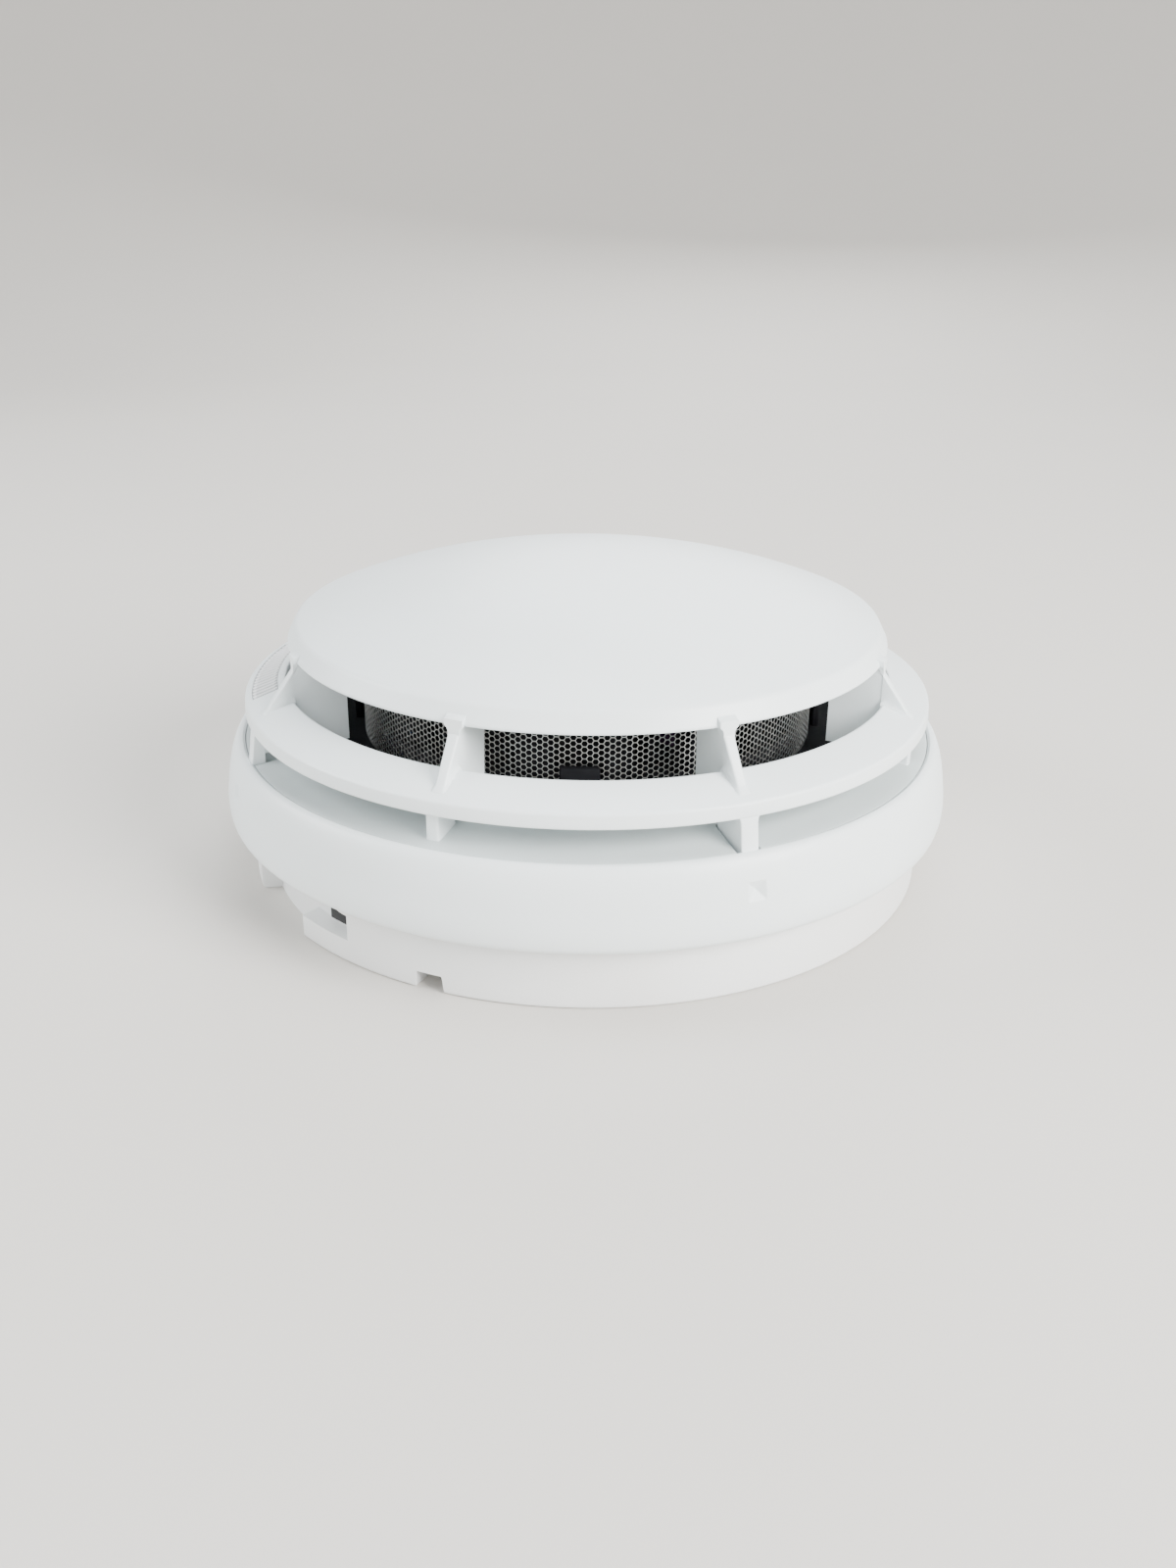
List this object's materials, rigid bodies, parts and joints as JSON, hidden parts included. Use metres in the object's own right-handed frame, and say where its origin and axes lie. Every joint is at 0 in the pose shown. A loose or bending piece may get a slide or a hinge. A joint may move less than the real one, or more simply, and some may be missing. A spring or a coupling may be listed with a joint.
{
  "type": "smoke detector",
  "caption": "Round white ceiling smoke detector on a twist-lock base, with rings of smoke gaps under a domed cap and a fine metal insect screen.",
  "frame": {"origin": "middle of the mounting face of the base, on the detector's axis", "axes": "+Z along the detector's axis from the mounting face to the domed cap; -Y is the side that the view faces; the indicator window is at -X"},
  "size_m": [0.1108, 0.1108, 0.0457],
  "materials": {
    "cover_plastic": "satin moulded white, very fine texture",
    "body_plastic": "satin moulded white",
    "base_plastic": "satin moulded white",
    "latch_plastic": "moulded dark grey",
    "clear_plastic": "clear prismatic, ribbed face",
    "black_plastic": "matt black, light-absorbing",
    "screen_steel": "thin etched steel",
    "seal_rubber": "soft matt",
    "contact_brass": "stamped strip",
    "screw_steel": "zinc-plated",
    "board_laminate": "solder-masked laminate",
    "chip_black": "moulded epoxy",
    "can_aluminium": "drawn can",
    "clear_glass": "drawn tube",
    "tinted_epoxy": "infra-red-passing epoxy",
    "red_epoxy": "tinted epoxy"
  },
  "bodies": {
    "base": {"base_housing": "base_plastic", "latch_pin": "screw_steel", "contact_strip_1": "contact_brass", "clamp_washer_1": "screw_steel", "terminal_screw_1": "screw_steel", "contact_strip_2": "contact_brass", "clamp_washer_2": "screw_steel", "terminal_screw_2": "screw_steel", "contact_strip_3": "contact_brass", "clamp_washer_3": "screw_steel", "terminal_screw_3": "screw_steel", "contact_strip_4": "contact_brass", "clamp_washer_4": "screw_steel", "terminal_screw_4": "screw_steel"},
    "latch": {"lock_latch": "latch_plastic"},
    "seal": {"seal_ring": "seal_rubber"},
    "head": {"detector_body": "body_plastic", "contact_blade_1": "contact_brass", "contact_blade_2": "contact_brass", "contact_blade_3": "contact_brass", "contact_blade_4": "contact_brass", "circuit_board": "board_laminate", "board_screw_1": "screw_steel", "board_screw_2": "screw_steel", "board_screw_3": "screw_steel", "microcontroller": "chip_black", "surge_suppressor": "chip_black", "smoothing_capacitor": "can_aluminium", "reed_switch": "clear_glass", "status_led": "red_epoxy", "chamber_base": "black_plastic", "chamber_lid": "black_plastic", "insect_screen": "screen_steel", "emitter_holder": "black_plastic", "receiver_holder": "black_plastic", "infrared_emitter": "tinted_epoxy", "photodiode": "tinted_epoxy"},
    "cover": {"outer_cover": "cover_plastic", "indicator_lens": "clear_plastic"}
  },
  "joints": [
    {"name": "head_pull", "type": "slide", "parent": "base", "child": "seal", "axis": [0, 0, 1], "range_m": [0, 0.03]},
    {"name": "head_twist", "type": "hinge", "parent": "seal", "child": "head", "pos_m": [0, 0, 0.011], "axis": [0, 0, -1], "range_deg": [0, 15]},
    {"name": "cover_lift", "type": "slide", "parent": "head", "child": "cover", "axis": [0, 0, 1], "range_m": [0, 0.03]},
    {"name": "latch_press", "type": "hinge", "parent": "base", "child": "latch", "pos_m": [-0.03973, -0.02113, 0.006], "axis": [0, 0, 1], "range_deg": [0, 5], "stiffness_Nm_per_rad": 0.02}
  ]
}
